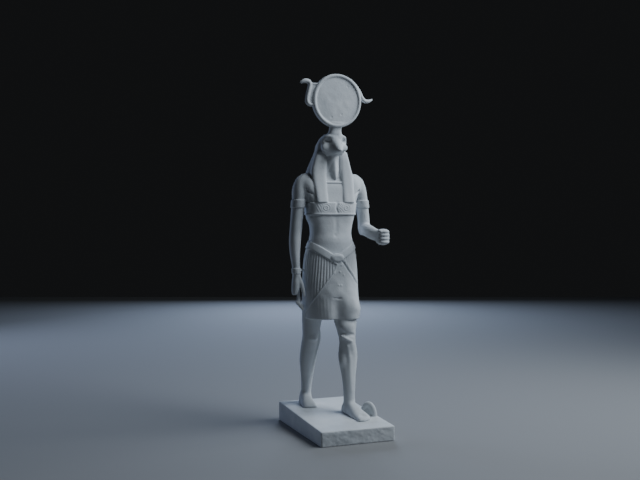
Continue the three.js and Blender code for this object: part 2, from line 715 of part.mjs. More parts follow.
function lug() {
  const facing = degToRad(-45);
  const normal = new THREE.Vector3(Math.sin(facing), -Math.cos(facing), 0);
  const along = new THREE.Vector3(Math.cos(facing), Math.sin(facing), 0);
  const centre = new THREE.Vector3(24.6, -16.5, 0);
  centre.z = plinthTop(centre.y) - 0.8;
  const [halfLength, height] = [5.4, 10.4];
  const arch = Array.from({ length: 11 }, (_, i) => {
    const angle = (i / 10) * Math.PI;
    const p = centre.clone().addScaledVector(along, halfLength * Math.cos(angle));
    return [p.x, p.y, p.z + height * Math.sin(angle), 2.3, 2.1];
  });
  const rim = tube(arch, normal, { segments: 8, perSpan: 1 });
  const web = new THREE.Shape(arch.map(([x, y, z]) =>
    new THREE.Vector2((x - centre.x) * along.x + (y - centre.y) * along.y, z)));
  const webGeometry = new THREE.ExtrudeGeometry(web, { depth: 1.8, bevelEnabled: false });
  webGeometry.translate(0, 0, -0.9);
  webGeometry.applyMatrix4(new THREE.Matrix4().makeBasis(along, new THREE.Vector3(0, 0, 1), along.clone().cross(new THREE.Vector3(0, 0, 1))));
  webGeometry.translate(centre.x, centre.y, 0);
  return rim.add(toSolid(webGeometry));
}

const plaster = new THREE.MeshStandardMaterial({ color: 0xc9ced2, roughness: 0.85, metalness: 0 });

function named(name, solid) {
  const mesh = new THREE.Mesh(toGeometry(solid), plaster);
  mesh.name = name;
  return mesh;
}

const statuette = new THREE.Group();
statuette.add(named("plinth", slab().add(lug())));
statuette.add(named("figure", figure()));

export default statuette;
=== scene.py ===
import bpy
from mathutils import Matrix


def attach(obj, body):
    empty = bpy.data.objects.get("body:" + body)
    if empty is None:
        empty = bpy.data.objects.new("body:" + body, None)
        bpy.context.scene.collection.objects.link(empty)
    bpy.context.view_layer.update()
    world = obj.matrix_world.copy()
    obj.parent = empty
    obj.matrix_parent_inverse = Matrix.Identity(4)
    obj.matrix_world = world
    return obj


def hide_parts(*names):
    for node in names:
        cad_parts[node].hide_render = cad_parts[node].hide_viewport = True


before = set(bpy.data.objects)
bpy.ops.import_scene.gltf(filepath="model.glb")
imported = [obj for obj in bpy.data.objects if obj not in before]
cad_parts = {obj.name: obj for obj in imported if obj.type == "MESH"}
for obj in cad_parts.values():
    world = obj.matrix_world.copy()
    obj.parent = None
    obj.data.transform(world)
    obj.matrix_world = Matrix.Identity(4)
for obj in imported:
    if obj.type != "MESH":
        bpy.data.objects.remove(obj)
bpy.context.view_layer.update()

import math

import bmesh
import bpy
import numpy as np
import openvdb
from mathutils import Matrix, Vector

MM = 0.001
# Grid step, triangle budgets and the distance that stands for nothing near, in millimetres
VOXEL = 0.42
FIGURE_FACES = 195000
PLINTH_FACES = 90000
FAR = 12.0

# Plinth
PLINTH_WIDTH = 64.0
PLINTH_LENGTH = 106.0
PLINTH_FRONT_HEIGHT = 12.0
PLINTH_BACK_HEIGHT = 16.6
# The figure stands this far clear of the plinth, and this many layers of its grid are trimmed to it.
SOLE_GAP = 0.3
SOLE_LAYERS = 70
# Arched lug: centre, facing in degrees, half width, height, rim radii and half the web's thickness
LUG_CENTRE = (24.6, -16.5)
LUG_FACING = -45
LUG_HALF = 5.4
LUG_HEIGHT = 10.4
LUG_RIM = (2.3, 2.1)
LUG_WEB = 0.9
LUG_SINK = 0.8
LUG_STEPS = 10


def plinth_top(y):
    rise = PLINTH_BACK_HEIGHT - PLINTH_FRONT_HEIGHT
    return PLINTH_FRONT_HEIGHT + rise * (y / PLINTH_LENGTH + 0.5)


# Stations along z: z, centre x, centre y, half width, depth to the front, depth to the back, squareness.
TORSO = [
    (140, 0, 9, 20.6, 13.2, 13.4, 2.2),
    (150, 0, 8.4, 20.6, 13.4, 12.8, 2.2),
    (158, 0, 8, 19.4, 13, 12.4, 2.3),
    (162, -0.1, 8, 18.8, 12.6, 12.2, 2.4),
    (167, -0.2, 8, 17.8, 12, 11.6, 2.6),
    (174, -0.2, 8, 18.4, 12.2, 12, 2.9),
    (179, -0.7, 8, 19.8, 12.4, 12.6, 3.4),
    (183, -0.6, 8, 20.2, 12.4, 13, 3.7),
    (190, -0.3, 8.3, 20.6, 12.6, 13.6, 3.8),
    (198, 0, 8.8, 22.6, 11.4, 13, 4.2),
    (206, 0, 9.4, 24.6, 10.6, 11.6, 3.9),
    (213, 0, 10, 23.2, 8.2, 9.2, 2.8),
    (219, 0, 9.6, 14.5, 7, 7, 2),
    (226, 0, 8, 7.6, 7, 6.6, 2),
    (236, 0, 6.4, 7.4, 7, 7, 2),
]
KILT = [
    (94.4, 2.4, 12, 23.4, 21.6, 22.6),
    (99, 2.2, 11.9, 24, 21.8, 22.6),
    (106, 1.6, 11.5, 24.4, 21.8, 22.6),
    (118, 0.6, 11, 24.6, 20.5, 21.2),
    (136, 0, 9.4, 24.1, 17, 17.4),
    (146, -0.3, 8.7, 23.2, 15.5, 15.4),
    (153.5, -0.2, 8.3, 21.8, 14.2, 13.8),
    (160, -0.2, 8, 19.4, 12.4, 12),
]
RIGHT_LEG = [
    (13, -10.8, 42.5, 4.9, 6.4, 5.4),
    (18, -10.8, 41.4, 4.7, 5.8, 5.3),
    (23, -10.8, 40.6, 4.5, 5, 5),
    (28, -10.8, 39.8, 4.4, 4.8, 4.8),
    (36, -10.9, 38, 4.9, 4.9, 5.2),
    (45, -11.3, 35.4, 5.9, 5.3, 6.4),
    (56, -11.8, 32, 7.3, 6.2, 8),
    (66, -12, 28.4, 7.5, 7, 8.4),
    (77, -12.2, 24.4, 7.2, 8.2, 7.6),
    (86, -12.6, 21.4, 7.8, 8.8, 8.6),
    (96, -13, 18.2, 8.8, 9.8, 9.8),
    (112, -12.6, 14.4, 10, 11, 11),
]
LEFT_LEG = [
    (12, 12.2, -3.6, 4.9, 6.4, 5.6),
    (16, 12.2, -3.6, 4.9, 6.2, 5.5),
    (21, 12.2, -4, 4.7, 5.4, 5.2),
    (28, 12.2, -4, 4.8, 4.9, 4.9),
    (36, 12.2, -3.8, 5.2, 4.8, 5.2),
    (46, 12.2, -3, 6.0, 5, 6.6),
    (56, 12.1, -1.8, 7.6, 5.8, 8),
    (64, 12, -1.6, 8.2, 6.4, 8),
    (75, 11.1, -2.4, 6.9, 7.6, 6.8),
    (84, 10.4, -1.8, 7.9, 8.2, 7.8),
    (92, 9.9, -0.8, 9.7, 8.8, 8.6),
    (101, 10.2, 0.8, 10.4, 9, 9),
    (112, 11.4, 5, 10.2, 9, 9),
]
UPPER_ARM = [
    (165, 32.1, 10, 3.8, 4.2, 4.2),
    (170, 32, 10.2, 4.8, 5.4, 5.2),
    (178, 31.6, 10.4, 5, 5.7, 5.6),
    (186, 30.7, 10.5, 5.1, 6, 5.8),
    (195, 29.2, 10.6, 5.5, 6.7, 6.4),
    (203, 27.1, 10.8, 6.5, 7.4, 7.2),
    (209, 25.3, 10.8, 6.6, 7, 7),
    (213.5, 23.6, 10.8, 6, 5.8, 5.8),
    (217.6, 21, 10.8, 3.6, 3.4, 3.4),
]
RIGHT_UPPER_ARM = [
    (165, -30.9, 10.4, 4.2, 4.4, 4.6),
    (170, -30.6, 10.4, 4.9, 5.6, 5.6),
    (178, -30, 10.5, 5.1, 5.8, 5.8),
    (186, -29.2, 10.5, 5.3, 6.1, 6),
    (195, -28, 10.6, 5.6, 6.7, 6.5),
    (203, -26.9, 10.8, 6.6, 7.4, 7.2),
    (209, -25.3, 10.8, 6.6, 7, 7),
    (213.5, -23.4, 10.8, 6, 5.8, 5.8),
    (217.6, -20.8, 10.8, 3.6, 3.4, 3.4),
]
RIGHT_FOREARM = [
    (131, -30.6, 9.4, 3.1, 3.9, 3.7),
    (137, -30.7, 9.6, 3.2, 3.8, 3.7),
    (143, -31.2, 9.8, 3.6, 4.2, 4.1),
    (151, -31.7, 10.1, 4.3, 5.1, 4.9),
    (160, -31.6, 10.3, 4.9, 5.7, 5.4),
    (168, -31, 10.4, 5, 5.7, 5.7),
    (176, -30.2, 10.4, 5, 5.7, 5.7),
]
WIG = [
    (198, 0, 16.5, 13.5, 3.5, 6.2, 2.6),
    (203, 0, 15.5, 15.5, 5, 7.6, 2.6),
    (210, 0, 14, 18.4, 7, 8.4, 2.7),
    (217, 0, 12.6, 20.5, 11, 9.4, 2.8),
    (224, 0, 11.8, 18, 10.4, 11, 2.8),
    (232, 0, 9.9, 14.7, 8.2, 12.6, 2.7),
    (237, 0, 8.6, 13.1, 6.6, 13.2, 2.6),
    (242, 0, 7.2, 12.2, 5.3, 13, 2.6),
    (247, 0, 6, 9.8, 5.4, 11.2, 2.5),
    (249.6, 0, 5.4, 7.6, 5.4, 8.4, 2.4),
    (251.2, 0, 5, 5, 4.6, 5, 2.4),
]
LAPPET = [
    (192.8, 12, -1.2, 5.5, 4.4, 4),
    (201, 12.1, 1.0, 5.6, 4.4, 4),
    (211, 12.1, 3.1, 5.7, 4.4, 4),
    (219, 11.7, 4.5, 5.3, 4.4, 4),
    (224, 11.1, 5.2, 4.9, 4.4, 4),
    (230, 10.4, 5.8, 4.2, 4.4, 4),
    (236, 9.8, 6.2, 3.4, 3.6, 4),
]
RIGHT_LAPPET = [
    (192.8, -11.9, -1.2, 5.3, 4.4, 4),
    (201, -12.2, 1.0, 5.7, 4.4, 4),
    (211, -12.8, 3.1, 6.4, 4.4, 4),
    (219, -12.9, 4.4, 6.5, 4.4, 4),
    (224, -12.3, 4.9, 6.0, 4.4, 4),
    (230, -11.3, 5.4, 5.0, 4.4, 4),
    (236, -10.2, 6.2, 3.8, 3.6, 4),
]
FACE = [
    (232.8, 0, 2, 6.2, 2.0, 5),
    (234.4, 0, 2, 8.6, 4.0, 5),
    (237, 0, 2, 10.6, 5.8, 5),
    (240, 0, 2, 11.2, 6.4, 5),
    (243, 0, 2, 10.9, 6.4, 5),
    (246, 0, 2, 10.2, 6.0, 5),
    (248.4, 0, 2.2, 8.6, 5.2, 5),
    (250, 0, 2.6, 6, 4.2, 5),
]
BEAK = [
    (233.8, 0.6, -2, 2.0, 5.4, 2),
    (234.9, 0.8, -2, 3.4, 9.6, 2),
    (236.2, 0.9, -2, 4.2, 11.2, 2),
    (238, 1.0, -2, 4.8, 9.6, 2),
    (240.5, 1.0, -2, 5.3, 7.6, 2),
    (243, 0.8, -2, 5.7, 5.9, 2),
    (245.5, 0.4, -2, 5.9, 4.5, 2),
    (248, 0.2, -2, 5.4, 3.2, 2),
    (250, 0, -1.2, 4.0, 2, 2),
]
THROAT = [
    (211.2, 1.6, 5, 1.8, 3.4, 3),
    (213.4, 1.6, 5, 3.3, 4.8, 3),
    (216.4, 1.3, 5.4, 4.8, 5.8, 4),
    (222, 1.1, 6, 5.8, 6.2, 4),
    (234, 0.8, 7, 6.2, 6.2, 4),
]
STEM = [
    (246, 0, 1, 7, 6, 6.4),
    (250.4, 0, -0.8, 6, 4.8, 4.8),
    (253.6, 0, -1.8, 5.2, 3.8, 3.6),
    (257, 0.2, -3.2, 5.7, 3.2, 3.2),
    (260, 0.4, -4.1, 7.6, 2.6, 2.6),
]
# Stations along y: y, centre x, centre z, half width, height up, depth down.
LEFT_FOREARM = [
    (-26, 30, 164.9, 4, 4.8, 4.8),
    (-17, 30.6, 165.8, 4.4, 5.1, 5),
    (-8, 31.2, 167.2, 4.9, 5.5, 5.4),
    (3, 31.7, 169.2, 5.1, 5.8, 5.4),
    (10, 31.8, 171, 4.8, 5.6, 5),
    (13.8, 31.8, 172, 3.4, 4, 3.8),
]
# Stations along y on the top of the plinth: y, centre x, half width, height up, depth down.
LEFT_FOOT = [
    (-33.8, 11.4, 2.2, 2.0, 3),
    (-32.2, 12.6, 4.2, 3.0, 3),
    (-29.6, 14.0, 5.7, 3.5, 3),
    (-26.2, 15.3, 6.5, 4.0, 3),
    (-21.2, 14.4, 6.4, 5.6, 3),
    (-15.2, 13.3, 5.6, 8, 3),
    (-9.2, 12.7, 5.1, 10.4, 3),
    (-2.2, 12.3, 4.7, 11.6, 3),
    (3.4, 12.1, 4.2, 7, 3),
    (5.2, 12.1, 2.6, 4, 3),
]
RIGHT_FOOT = [
    (21.8, -11.6, 3.8, 1.8, 3),
    (23.0, -12.4, 5.6, 2.6, 3),
    (26.0, -12.5, 6.1, 3.8, 3),
    (29.6, -12.4, 6.1, 5.8, 3),
    (33.8, -11.9, 5.6, 8, 3),
    (38.0, -11.4, 5.1, 10.4, 3),
    (42.9, -11.1, 4.7, 11.6, 3),
    (46.8, -11, 4.2, 7, 3),
    (48.1, -11, 2.6, 4, 3),
]
LEFT_FIST = (30.0, -32.6, 164.2)
RIGHT_HAND = (-29.8, 8.6, 124.0)
# The block of space round the head, and the heights between which the wig clears the face
HEAD_BLOCK = ((-26, -12, 195), (26, 26, 256))
FACE_OPENING = (233.0, 243.4)
WIG_OPENING = [
    (206, 0, 0, 6.2, 14, 3.4),
    (232, 0, 0, 6.2, 14, 3.4),
]
# Sun disc
DISC_CENTRE = (0.4, -4.2, 277.9)
DISC_RADIUS = 22.4
DISC_WIDTH_RATIO = 0.965
DISC_HALF_THICKNESS = 2.9
DISC_RIM_WIDTH = 2.7
DISC_RECESS = 1.1
DISC_CROWN = 0.8
# Clear pits on the disc's face: x and z from its centre, and radius
DISC_PITS = ((9.2, 12.2, 1.3), (-5.4, -14.0, 1.6), (3.6, -11.4, 1.3))


# Distance fields
def smooth_min(a, b, k):
    if k <= 0:
        return np.minimum(a, b)
    h = np.maximum(k - np.abs(a - b), 0) / k
    return np.minimum(a, b) - h * h * k * 0.25


def smooth_max(a, b, k):
    return -smooth_min(-a, -b, k)


def smoothstep(low, high, v):
    t = np.clip((v - low) / (high - low), 0, 1)
    return t * t * (3 - 2 * t)


def bell(v, width):
    return np.exp(-(v / width) ** 2)


class Field:
    """A block of space sampled on a grid, holding the distance to a growing solid."""

    def __init__(self, low, high, voxel):
        self.voxel = voxel
        self.low = np.floor(np.array(low, float) / voxel) * voxel
        self.count = np.ceil((np.array(high, float) - self.low) / voxel).astype(int) + 1
        self.d = np.full(self.count, FAR, np.float32)

    def block(self, box, margin):
        low = np.array(box[0], float) - margin
        high = np.array(box[1], float) + margin
        first = np.clip(np.floor((low - self.low) / self.voxel).astype(int), 0, self.count - 1)
        last = np.clip(np.ceil((high - self.low) / self.voxel).astype(int) + 1, 1, self.count)
        axes = [
            (self.low[i] + self.voxel * np.arange(first[i], last[i])).astype(np.float32)
            for i in range(3)
        ]
        where = tuple(slice(first[i], last[i]) for i in range(3))
        return where, axes[0][:, None, None], axes[1][None, :, None], axes[2][None, None, :]

    def join(self, shape, blend=0.6):
        where, x, y, z = self.block(shape.box, blend + 3 * self.voxel)
        self.d[where] = smooth_min(self.d[where], shape.at(x, y, z), blend)

    def cut(self, shape, blend=0.4):
        where, x, y, z = self.block(shape.box, blend + 3 * self.voxel)
        self.d[where] = smooth_max(self.d[where], -shape.at(x, y, z), blend)

    def swell(self, box, amount):
        """Moves the surface outwards in a box, by an amount that fades to 0 at its sides."""
        where, x, y, z = self.block(box, 0)
        self.d[where] -= amount(x, y, z)

    def absorb(self, other, box, blend):
        """Joins what another field on the same grid holds in a box."""
        own = self.block(box, 0)[0]
        theirs = other.block(box, 0)[0]
        size = [min(self.d[own].shape[i], other.d[theirs].shape[i]) for i in range(3)]
        first = lambda part: tuple(
            slice(part[i].start, part[i].start + size[i]) for i in range(3)
        )
        target, source = first(own), first(theirs)
        self.d[target] = smooth_min(self.d[target], other.d[source], blend)

    def mesh(self):
        band = 3 * self.voxel
        values = np.clip(self.d, -band, band)
        grid = openvdb.FloatGrid(band)
        grid.transform = openvdb.createLinearTransform(voxelSize=self.voxel)
        grid.copyFromArray(values, tolerance=0.0)
        points, quads = grid.convertToQuads(isovalue=0.0)
        return points + self.low, quads


class Shape:
    def __init__(self, box, at):
        self.box = box
        self.at = at


def catmull_rom(p, q, r, s, t):
    """The point at t from 0 to 1 on the smooth curve from q to r."""
    cubic = 3 * (q - r) + s - p
    return q + 0.5 * t * (r - p + t * (2 * p - 5 * q + 4 * r - s + t * cubic))


def refine(rows, step):
    """Adds smooth rows between the rows of a table, which may leave out their last column."""
    width = max(len(r) for r in rows)
    table = np.array([tuple(r) + (2.0,) * (width - len(r)) for r in rows], float)
    table = table[np.argsort(table[:, 0])]
    padded = np.vstack([2 * table[0] - table[1], table, 2 * table[-1] - table[-2]])
    out = []
    for i in range(1, len(padded) - 2):
        p, q, r, s = padded[i - 1:i + 3]
        count = max(2, int(abs(r[0] - q[0]) / step))
        for j in range(count):
            out.append(catmull_rom(p, q, r, s, j / count))
    out.append(table[-1])
    return np.array(out)


def section(u, v, half, front, back, squareness):
    """First-order distance to a superellipse, and its normalised radius."""
    reach = np.where(v < 0, front, back)
    a = np.maximum(np.abs(u / half), 1e-4)
    b = np.maximum(np.abs(v / reach), 1e-4)
    n = squareness
    rho = (a ** n + b ** n) ** (1 / n)
    ga = (a / rho) ** (n - 1) / half
    gb = (b / rho) ** (n - 1) / reach
    return (rho - 1) / np.sqrt(ga * ga + gb * gb)


def column(rows, squareness=2.0, cap=1.0, relief=None, step=1.0):
    """A solid lofted through stations along z. The relief moves its side outwards."""
    table = refine(rows, step)
    own = max(len(r) for r in rows) > 6
    z0, z1 = table[0, 0], table[-1, 0]
    box = (
        ((table[:, 1] - table[:, 3]).min() - 2, (table[:, 2] - table[:, 4]).min() - 2, z0),
        ((table[:, 1] + table[:, 3]).max() + 2, (table[:, 2] + table[:, 5]).max() + 2, z1),
    )

    def at(x, y, z):
        flat = z.reshape(-1)
        get = lambda k: np.interp(flat, table[:, 0], table[:, k]).astype(np.float32)[None, None, :]
        u = x - get(1)
        v = y - get(2)
        n = get(6) if own else np.float32(squareness)
        d = section(u, v, get(3), get(4), get(5), n)
        if relief is not None:
            d = d - relief(x, y, z, u, v)
        ends = np.maximum(z0 - z, z - z1)
        return smooth_max(d, np.broadcast_to(ends, d.shape), cap)

    return Shape(box, at)


def bar(rows, squareness=2.0, cap=1.0, step=1.0):
    """A solid lofted through stations along y."""
    table = refine(rows, step)
    y0, y1 = table[0, 0], table[-1, 0]
    box = (
        ((table[:, 1] - table[:, 3]).min() - 1, y0, (table[:, 2] - table[:, 5]).min() - 1),
        ((table[:, 1] + table[:, 3]).max() + 1, y1, (table[:, 2] + table[:, 4]).max() + 1),
    )

    def at(x, y, z):
        flat = y.reshape(-1)
        get = lambda k: np.interp(flat, table[:, 0], table[:, k]).astype(np.float32)[None, :, None]
        d = section(x - get(1), z - get(2), get(3), get(5), get(4), np.float32(squareness))
        ends = np.maximum(y0 - y, y - y1)
        return smooth_max(d, np.broadcast_to(ends, d.shape), cap)

    return Shape(box, at)


def ball(centre, radii, turn=0.0, tilt=0.0):
    """An ellipsoid, turned about z and tilted about x, in degrees."""
    c = np.array(centre, float)
    r = np.array(radii, float)
    spin = Matrix.Rotation(math.radians(turn), 3, "Z") @ Matrix.Rotation(math.radians(tilt), 3, "X")
    back = np.array(spin.transposed())
    big = r.max()

    def at(x, y, z):
        dx, dy, dz = x - c[0], y - c[1], z - c[2]
        p = [back[i, 0] * dx + back[i, 1] * dy + back[i, 2] * dz for i in range(3)]
        k = np.sqrt(sum((p[i] / r[i]) ** 2 for i in range(3))) + 1e-4
        g = np.sqrt(sum((p[i] / r[i] ** 2) ** 2 for i in range(3))) + 1e-4
        return (k * (k - 1) / g).astype(np.float32)

    return Shape((c - big, c + big), at)


def tube(rows, normal=None, samples=4):
    """A tube along rows of x, y, z, radius and, with a normal, the radius along that normal."""
    rows = np.array([tuple(r) if len(r) > 4 else tuple(r) + (r[3],) for r in rows], float)
    padded = np.vstack([2 * rows[0] - rows[1], rows, 2 * rows[-1] - rows[-2]])
    fine = []
    for i in range(1, len(padded) - 2):
        p, q, r, s = padded[i - 1:i + 3]
        for j in range(samples):
            fine.append(catmull_rom(p, q, r, s, j / samples))
    fine.append(rows[-1])
    fine = np.array(fine)
    big = fine[:, 3:].max()
    low = fine[:, :3].min(axis=0) - big
    high = fine[:, :3].max(axis=0) + big
    n = None if normal is None else np.array(normal, float) / np.linalg.norm(normal)

    def at(x, y, z):
        best = None
        for a, b in zip(fine[:-1], fine[1:]):
            ab = b[:3] - a[:3]
            length2 = float(ab @ ab) + 1e-9
            dx, dy, dz = x - a[0], y - a[1], z - a[2]
            t = np.clip((dx * ab[0] + dy * ab[1] + dz * ab[2]) / length2, 0, 1)
            ox, oy, oz = dx - t * ab[0], dy - t * ab[1], dz - t * ab[2]
            r1 = a[3] + t * (b[3] - a[3])
            whole = ox * ox + oy * oy + oz * oz
            if n is None:
                d = np.sqrt(whole) - r1
            else:
                r2 = a[4] + t * (b[4] - a[4])
                across = ox * n[0] + oy * n[1] + oz * n[2]
                along = np.maximum(whole - across ** 2, 0)
                k = np.sqrt(along / r1 ** 2 + (across / r2) ** 2) + 1e-4
                g = np.sqrt(along / r1 ** 4 + (across / r2 ** 2) ** 2) + 1e-4
                d = k * (k - 1) / g
            best = d if best is None else np.minimum(best, d)
        return best.astype(np.float32)

    return Shape((low, high), at)


def strap(body, low, high, proud, rounding=0.5):
    """A band over a body: its skin raised between two heights, which may change round the body."""
    base = body.at

    def at(x, y, z):
        d = base(x, y, z) - proud
        edge = np.maximum(low(x, y) - z, z - high(x, y))
        return smooth_max(d, np.broadcast_to(edge, d.shape), rounding)

    return Shape(body.box, at)


def level(height):
    """A strap's edge at one height all round."""
    return lambda x, y: np.float32(height) + 0 * x


def ring(body, low, high, proud, rounding=0.5):
    """A strap between two fixed heights."""
    return strap(body, level(low), level(high), proud, rounding)


# Noise for worn and chipped plaster
def lattice_noise(x, y, z, size, seed):
    """Smooth value noise from -1 to 1 with features of a size in millimetres."""
    x, y, z = np.broadcast_arrays(x / size, y / size, z / size)
    rng = np.random.default_rng(seed)
    table = rng.uniform(-1, 1, (32, 32, 32)).astype(np.float32)
    cells = [np.floor(v).astype(np.int32) for v in (x, y, z)]
    f = [(v - c).astype(np.float32) for v, c in zip((x, y, z), cells)]
    f = [v * v * (3 - 2 * v) for v in f]
    total = 0
    for i in (0, 1):
        for j in (0, 1):
            for k in (0, 1):
                w = (f[0] if i else 1 - f[0]) * (f[1] if j else 1 - f[1]) * (f[2] if k else 1 - f[2])
                total = total + w * table[(cells[0] + i) % 32, (cells[1] + j) % 32, (cells[2] + k) % 32]
    return total


# Body
PLEATS = 54
PLEAT_DEPTH = 0.5
# Belt: half its height, its height at the back, and in front the height at x 0 and the slope
BELT_HALF = 3.5
BELT_REST = 157.8
BELT_FROM_RIGHT = (143.7, -0.65)
BELT_FROM_LEFT = (145.2, 0.57)
BELT_BACK_FROM = 8
# Bands, from and up to a height
CHEST_BORDER = (182.3, 183.9)
CHEST_BAND = (183.6, 192.8)
NECKLINE = (209.2, 210.7)
ARMBAND = (188.4, 195.2)
WRISTBAND = (132.9, 137.5)
BAND_PROUD = 0.8
SHOULDER_BLEND = 3.0
# Where the wrapped panels end: height, and degrees round from the front
RIGHT_EDGE = [
    (94, -100), (99.1, -87), (104.8, -68), (110.2, -54.6), (115.4, -43), (120.5, -33.6),
    (127.2, -21.8), (133, -10.9), (135.5, -6.1), (142, -1), (146, 0),
]
LEFT_EDGE = [
    (94, 110), (112, 84), (123.4, 58.7), (126.7, 48.2), (129.8, 41.4), (132.5, 35.7),
    (136, 28.2), (139, 23.4), (142.8, 16.2), (146, 8),
]
PANEL_MARKS = [
    (-2.6, 141.2), (-2.8, 133.6), (2.2, 134.6), (0.6, 123.6), (2.8, 123.4), (4.0, 140.2), (5.6, 132.0),
]


def front_angle(u, v):
    """0 straight ahead, growing to pi at the back; positive on the figure's left."""
    return np.arctan2(u, -v)


def belt_height(x, y):
    right = BELT_FROM_RIGHT[0] + BELT_FROM_RIGHT[1] * x
    left = BELT_FROM_LEFT[0] + BELT_FROM_LEFT[1] * x
    slope = np.where(x < 0, right, left)
    dip = np.where(y < BELT_BACK_FROM, slope, BELT_REST + 0 * x)
    return np.minimum(dip, BELT_REST)


def edge_angle(table, z):
    heights, degrees = zip(*table)
    return np.interp(z.reshape(-1), heights, degrees)[None, None, :]


def kilt_relief(x, y, z, u, v):
    angle = front_angle(u / 25.0, v / 20.0)
    turned = np.degrees(angle)
    # The forward thigh pushes the cloth out, and a hollow forms between the thighs.
    thigh = 3.8 * smoothstep(128, 101, z) * bell(turned - 28, 21)
    thigh = thigh + 0.9 * bell(z - 103, 5) * smoothstep(10, 50, turned) * smoothstep(140, 100, turned)
    hollow = 3.6 * smoothstep(118, 101, z) * bell(turned + 3, 12)
    right_edge = edge_angle(RIGHT_EDGE, z)
    left_edge = edge_angle(LEFT_EDGE, z)
    outside = np.maximum(right_edge - turned, turned - left_edge)
    inside = smoothstep(1.0, -1.0, outside)
    wave = 0.5 - 0.5 * np.cos(PLEATS * angle)
    pleat = -PLEAT_DEPTH * (1 - wave ** 0.6)
    below_belt = smoothstep(1.0, -1.5, z - belt_height(x, y))
    strength = (1 - inside) * smoothstep(-0.5, 3.0, outside) * smoothstep(93.5, 96.5, z)
    strength = strength * (1 - 0.8 * smoothstep(15, 35, turned) * smoothstep(150, 100, turned))
    faint = 0.25 * inside * smoothstep(118, 108, z) * smoothstep(-10, -25, turned)
    seam_right = 0.65 * bell(right_edge - turned, 1.9) * smoothstep(139, 133, z)
    seam_left = -0.8 * bell(left_edge - turned, 2.0) * smoothstep(121, 126, z)
    seam_left = seam_left + 0.4 * bell(left_edge - turned + 6, 4) * smoothstep(121, 128, z)
    slit = -0.35 * bell(z - 112.7, 0.5) * smoothstep(-5.2, -4.0, x) * smoothstep(3.2, 2.4, x)
    slit = slit - 0.8 * bell(z - 112.4, 0.8) * bell(x - 0.8, 1.9)
    marks = 0
    for mark_x, mark_z in PANEL_MARKS:
        marks = marks + 0.4 * bell(x - mark_x, 0.8) * bell(z - mark_z, 0.7)
    folds = 0.28 * lattice_noise(x, y, z, 5.0, 21) * inside * smoothstep(60, 30, np.abs(turned))
    worn = (marks + slit + folds) * (v < 0)
    trimmed = 1.6 * smoothstep(-0.5, 2.0, z - belt_height(x, y))
    cloth = pleat * (strength + faint) + seam_right + seam_left
    return thigh - hollow + cloth * below_belt + worn - trimmed


def torso_relief(x, y, z, u, v):
    front = smoothstep(2, -6, v)
    ribs = 0.7 * bell(z - 176, 5) * bell(np.abs(u) - 8.5, 4.5) * front
    line = -0.3 * bell(u - 0.6, 1.8) * bell(z - 174, 8) * front
    belly = 0.8 * bell(z - 162, 6) * bell(u, 9) * front
    navel = -0.35 * bell(u + 0.6, 1.4) * bell(z - 165.2, 1.3) * front
    return ribs * -0.5 + line + belly + navel


def build_body(field):
    torso = column(TORSO, relief=torso_relief)
    kilt = column(KILT, cap=1.0, relief=kilt_relief)
    for rows in (RIGHT_LEG, LEFT_LEG):
        field.join(column(rows, cap=0.5), 1.5)
    field.join(torso, 0.5)
    for rows in (UPPER_ARM, RIGHT_UPPER_ARM):
        field.join(column(rows, squareness=2.1, cap=2.0), SHOULDER_BLEND)
    for side in (-1, 1):
        field.join(ball((side * 19.6, 7.6, 207.5), (6.4, 7.2, 7.6)), SHOULDER_BLEND)
    field.join(kilt, 0.5)

    # Chest band with its lower border, then the neckline
    field.join(ring(torso, *CHEST_BAND, 0.9), 0.3)
    field.join(ring(torso, *CHEST_BORDER, 1.25), 0.3)
    field.join(ring(torso, *NECKLINE, 0.9), 0.4)

    def scrollwork(x, y, z):
        """A low scroll on each side of the band, with slanting grooves inside and outside it."""
        s, t = np.abs(x), z - 188.2
        r = np.sqrt((s - 9.2) ** 2 + (1.15 * t) ** 2)
        scroll = 0.2 * np.cos(2 * math.pi * r / 1.9) * smoothstep(4.4, 3.4, r)
        inner = 0.17 * np.cos(2 * math.pi * (s + 0.9 * t) / 2.0)
        inner = inner * smoothstep(4.2, 5.0, r) * smoothstep(9, 7.5, s)
        outer = 0.14 * np.cos(2 * math.pi * (s - 0.5 * t) / 2.1)
        outer = outer * smoothstep(4.2, 5.0, r) * smoothstep(9.5, 11, s)
        inside = smoothstep(-4.0, -3.2, t) * smoothstep(4.2, 3.4, t)
        inside = inside * smoothstep(1.6, 2.6, s) * smoothstep(18, 16.5, s)
        return (scroll + inner + outer) * inside * smoothstep(4, 1, y)

    field.swell(((-19, -8, 183), (19, 4, 193)), scrollwork)
    field.cut(tube([
        (1.4, -5.6, 193.4, 2.0), (0.8, -5.6, 191.0, 1.4),
        (-0.2, -5.6, 188.2, 1.0), (1.2, -5.7, 184.6, 0.9),
    ]), 0.5)
    for side in (-1, 1):
        field.cut(tube([
            (side * 24.0, 3.4, 205.0, 0.5), (side * 22.6, 2.0, 202.6, 0.9),
            (side * 19.8, -1.0, 199.6, 0.9), (side * 17.2, -3.2, 196.4, 0.6),
        ]), 1.0)

    # Belt, pulled down to an oval buckle in front.
    waist = column(KILT, cap=0.5)
    low = lambda x, y: belt_height(x, y) - BELT_HALF
    high = lambda x, y: belt_height(x, y) + BELT_HALF
    field.join(strap(waist, low, high, BAND_PROUD), 0.25)
    field.cut(ball((0, -8.6, 146.4), (7.0, 1.5, 5.0)), 0.3)
    field.join(ball((0, -6.7, 146.4), (6.1, 2.5, 3.9)), 0.2)
    field.cut(ball((0.6, -9.9, 145.8), (4.2, 1.2, 2.2)), 1.0)


